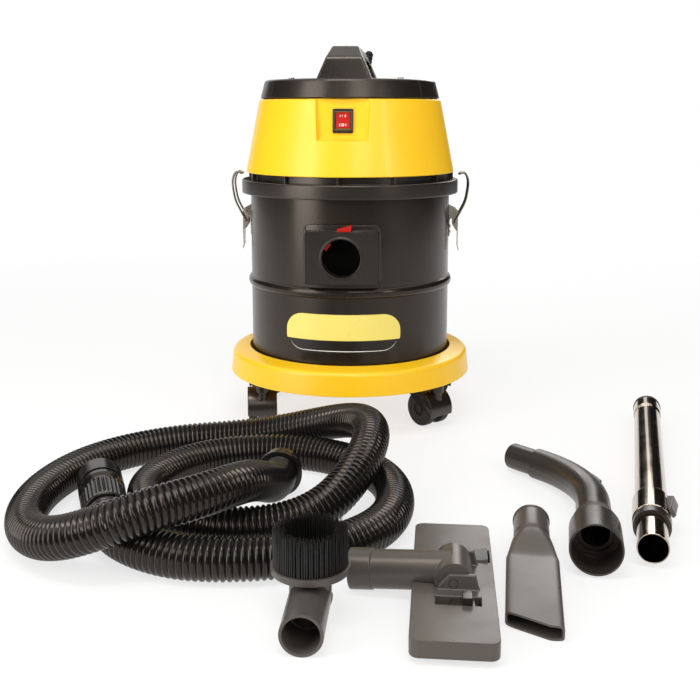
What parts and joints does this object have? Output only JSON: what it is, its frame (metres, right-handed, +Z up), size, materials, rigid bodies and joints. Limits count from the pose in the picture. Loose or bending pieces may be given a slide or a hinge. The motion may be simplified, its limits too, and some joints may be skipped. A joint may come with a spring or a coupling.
{
  "type": "wheeled canister vacuum cleaner",
  "caption": "Drum vacuum cleaner on swivel casters with a yellow motor head, wire latches, ribbed hose, telescopic wand, bent grip and floor, crevice and dusting tools.",
  "frame": {"origin": "on the floor, at the middle of the box round the machine and its loose tools, the hose left out", "axes": "+Z up, the machine's hose inlet faces -Y, the handle runs along Y, the wand lies to +X"},
  "size_m": [0.7979, 0.9054, 0.5434],
  "materials": {
    "tank": "smooth satin black, faint brown cast",
    "moulding_black": "fine-grained black moulding",
    "moulding_grey": "fine-grained dark grey moulding",
    "yellow": "satin warm yellow",
    "label": "bare yellow and black plate, no text",
    "red": "translucent-looking red",
    "steel": "zinc-plated, lightly worn",
    "chrome": "polished chrome tube",
    "hose": "ribbed black hose",
    "gasket": "soft black rubber",
    "cloth": "needle-felt filter cloth",
    "motor_dark": "lacquered motor laminations",
    "pedal": "mid grey moulding",
    "bristle": "black bristles"
  },
  "bodies": {
    "machine": {"tank": "tank", "inlet_housing": "moulding_black", "inlet_deflector": "moulding_black", "label_plate": "label", "base_ring": "yellow", "tank_gasket": "gasket", "latch_left_bracket": "steel", "latch_right_bracket": "steel", "hose": "hose", "hose_cuff": "moulding_black", "hose_collar": "moulding_black", "wand_outer": "chrome", "wand_collar": "moulding_black", "grip_tube": "moulding_grey", "grip_cuff": "moulding_grey", "crevice_tool": "moulding_grey", "floor_tool_body": "moulding_grey", "dust_brush_body": "moulding_grey", "dust_brush_bristles": "bristle"},
    "caster_fl": {"caster_fl_stem": "steel", "caster_fl_hood": "moulding_black"},
    "caster_fl_axle": {"caster_fl_wheels": "moulding_black"},
    "caster_fr": {"caster_fr_stem": "steel", "caster_fr_hood": "moulding_black"},
    "caster_fr_axle": {"caster_fr_wheels": "moulding_black"},
    "caster_rl": {"caster_rl_stem": "steel", "caster_rl_hood": "moulding_black"},
    "caster_rl_axle": {"caster_rl_wheels": "moulding_black"},
    "caster_rr": {"caster_rr_stem": "steel", "caster_rr_hood": "moulding_black"},
    "caster_rr_axle": {"caster_rr_wheels": "moulding_black"},
    "head": {"head_base": "moulding_black", "head_shell": "yellow", "top_cover": "moulding_black", "cover_screws": "steel", "cord_gland": "moulding_black", "switch_bezel": "moulding_black", "motor_fan_housing": "steel", "motor_frame": "motor_dark", "motor_stator": "motor_dark", "motor_bearings": "steel", "carbon_brushes": "motor_dark", "float_cage": "moulding_black", "filter_bag": "cloth"},
    "switch": {"switch_rocker": "red"},
    "armature": {"motor_armature": "steel", "motor_fan": "steel"},
    "float": {"float_ball": "red"},
    "catch": {"inlet_catch": "red"},
    "latch_left": {"latch_left_lever": "steel"},
    "bail_left": {"latch_left_bail": "steel"},
    "latch_right": {"latch_right_lever": "steel"},
    "bail_right": {"latch_right_bail": "steel"},
    "wand_inside": {"wand_inner": "chrome"},
    "wand_slider": {"wand_catch": "moulding_black"},
    "regulator": {"grip_regulator": "moulding_black"},
    "floor_neck": {"floor_tool_neck": "moulding_grey"},
    "floor_pedal": {"floor_tool_pedal": "pedal"},
    "floor_strips": {"floor_tool_bristles": "bristle"},
    "floor_lever": {"floor_tool_lever": "moulding_black"}
  },
  "joints": [
    {"name": "caster_fl_swivel", "type": "hinge", "parent": "machine", "child": "caster_fl", "pos_m": [-0.25798, 0.16568, 0.07], "axis": [0, 0, 1], "continuous": true},
    {"name": "caster_fl_spin", "type": "hinge", "parent": "caster_fl", "child": "caster_fl_axle", "pos_m": [-0.2611, 0.18341, 0.025], "axis": [-0.9848, -0.1736, 0], "continuous": true},
    {"name": "caster_fr_swivel", "type": "hinge", "parent": "machine", "child": "caster_fr", "pos_m": [-0.00643, 0.18327, 0.07], "axis": [0, 0, 1], "continuous": true},
    {"name": "caster_fr_spin", "type": "hinge", "parent": "caster_fr", "child": "caster_fr_axle", "pos_m": [-0.01871, 0.19644, 0.025], "axis": [-0.7314, -0.682, 0], "continuous": true},
    {"name": "caster_rl_swivel", "type": "hinge", "parent": "machine", "child": "caster_rl", "pos_m": [-0.28845, 0.33008, 0.07], "axis": [0, 0, 1], "continuous": true},
    {"name": "caster_rl_spin", "type": "hinge", "parent": "caster_rl", "child": "caster_rl_axle", "pos_m": [-0.27115, 0.32512, 0.025], "axis": [0.2756, 0.9613, 0], "continuous": true},
    {"name": "caster_rr_swivel", "type": "hinge", "parent": "machine", "child": "caster_rr", "pos_m": [0.00086, 0.35031, 0.07], "axis": [0, 0, 1], "continuous": true},
    {"name": "caster_rr_spin", "type": "hinge", "parent": "caster_rr", "child": "caster_rr_axle", "pos_m": [-0.01558, 0.34299, 0.025], "axis": [0.4067, -0.9135, 0], "continuous": true},
    {"name": "head_lift", "type": "slide", "parent": "machine", "child": "head", "axis": [0, 0, 1], "range_m": [0, 0.2]},
    {"name": "switch_rock", "type": "hinge", "parent": "head", "child": "switch", "pos_m": [-0.13908, 0.14843, 0.43644], "axis": [1, 0, 0], "range_deg": [0, 16]},
    {"name": "motor_spin", "type": "hinge", "parent": "head", "child": "armature", "pos_m": [-0.13908, 0.27275, 0.4575], "axis": [0, 0, 1], "continuous": true},
    {"name": "float_rise", "type": "slide", "parent": "head", "child": "float", "axis": [0, 0, 1], "range_m": [0, 0.0525]},
    {"name": "inlet_catch_turn", "type": "hinge", "parent": "machine", "child": "catch", "pos_m": [-0.13908, 0.11474, 0.254], "axis": [0, 1, 0], "range_deg": [0, 10], "stiffness_Nm_per_rad": 0.05, "springref_deg": -5.73},
    {"name": "latch_left_open", "type": "hinge", "parent": "machine", "child": "latch_left", "pos_m": [-0.29468, 0.27275, 0.303], "axis": [0, 1, 0], "range_deg": [0, 100]},
    {"name": "bail_left_swing", "type": "hinge", "parent": "latch_left", "child": "bail_left", "pos_m": [-0.29468, 0.27275, 0.288], "axis": [0, 1, 0], "range_deg": [-100, 0]},
    {"name": "latch_right_open", "type": "hinge", "parent": "machine", "child": "latch_right", "pos_m": [0.01652, 0.27275, 0.303], "axis": [0, -1, 0], "range_deg": [0, 100]},
    {"name": "bail_right_swing", "type": "hinge", "parent": "latch_right", "child": "bail_right", "pos_m": [0.01652, 0.27275, 0.288], "axis": [0, -1, 0], "range_deg": [-100, 0]},
    {"name": "wand_extend", "type": "slide", "parent": "machine", "child": "wand_inside", "axis": [-0.1994, -0.9799, 0], "range_m": [0, 0.3]},
    {"name": "wand_catch_slide", "type": "slide", "parent": "machine", "child": "wand_slider", "axis": [0.1994, 0.9799, 0], "range_m": [0, 0.007], "stiffness_N_per_m": 300, "springref_m": -0.004},
    {"name": "regulator_slide", "type": "hinge", "parent": "machine", "child": "regulator", "pos_m": [-0.00862, -0.13293, 0.02365], "axis": [0.0053, 0.0378, 0.9993], "range_deg": [-4, 4]},
    {"name": "floor_neck_tilt", "type": "hinge", "parent": "machine", "child": "floor_neck", "pos_m": [0.00192, -0.33326, 0.027], "axis": [0.0175, 0.9998, 0], "range_deg": [0, 85]},
    {"name": "floor_pedal_press", "type": "hinge", "parent": "machine", "child": "floor_pedal", "pos_m": [0.00769, -0.28935, 0.018], "axis": [0.0175, 0.9998, 0], "range_deg": [0, 6]},
    {"name": "floor_strip_lift", "type": "slide", "parent": "machine", "child": "floor_strips", "axis": [0, 0, 1], "range_m": [0, 0.004]},
    {"name": "floor_lever_slide", "type": "slide", "parent": "machine", "child": "floor_lever", "axis": [0.9998, -0.0175, 0], "range_m": [-0.012, 0.004]}
  ],
  "couplings": [
    {"joint": "bail_left_swing", "follows": "latch_left_open", "ratio": -1},
    {"joint": "bail_right_swing", "follows": "latch_right_open", "ratio": -1},
    {"joint": "floor_strip_lift", "follows": "floor_pedal_press", "m_per_rad": 0.038197}
  ]
}
